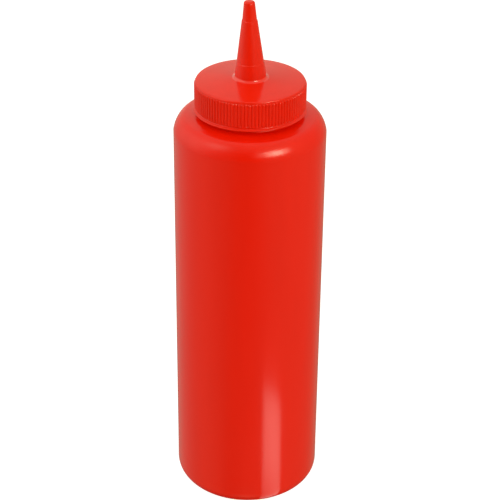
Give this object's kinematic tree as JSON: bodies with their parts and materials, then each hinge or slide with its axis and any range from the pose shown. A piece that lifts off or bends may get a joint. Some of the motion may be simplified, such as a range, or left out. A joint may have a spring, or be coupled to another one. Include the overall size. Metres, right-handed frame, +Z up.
{
  "type": "squeeze bottle",
  "caption": "Round plastic squeeze bottle for sauce, shut with a ribbed screw cap moulded in one with a tapering nozzle.",
  "frame": {"origin": "centre of the standing ring's underside, on the surface that the bottle stands on", "axes": "+Z up along the bottle's axis towards the nozzle's tip; the part is round, so +X and +Y are any two level directions"},
  "size_m": [0.076, 0.076, 0.2732],
  "materials": {
    "bottle_plastic": "opaque red blow-moulded polyethylene, satin gloss with a soft orange-peel texture and faint rub marks",
    "cap_plastic": "opaque red injection-moulded polyethylene, smooth gloss, with a polished top and fine grip ribs"
  },
  "bodies": {
    "root": {"bottle": "bottle_plastic", "cap": "cap_plastic"}
  },
  "joints": []
}
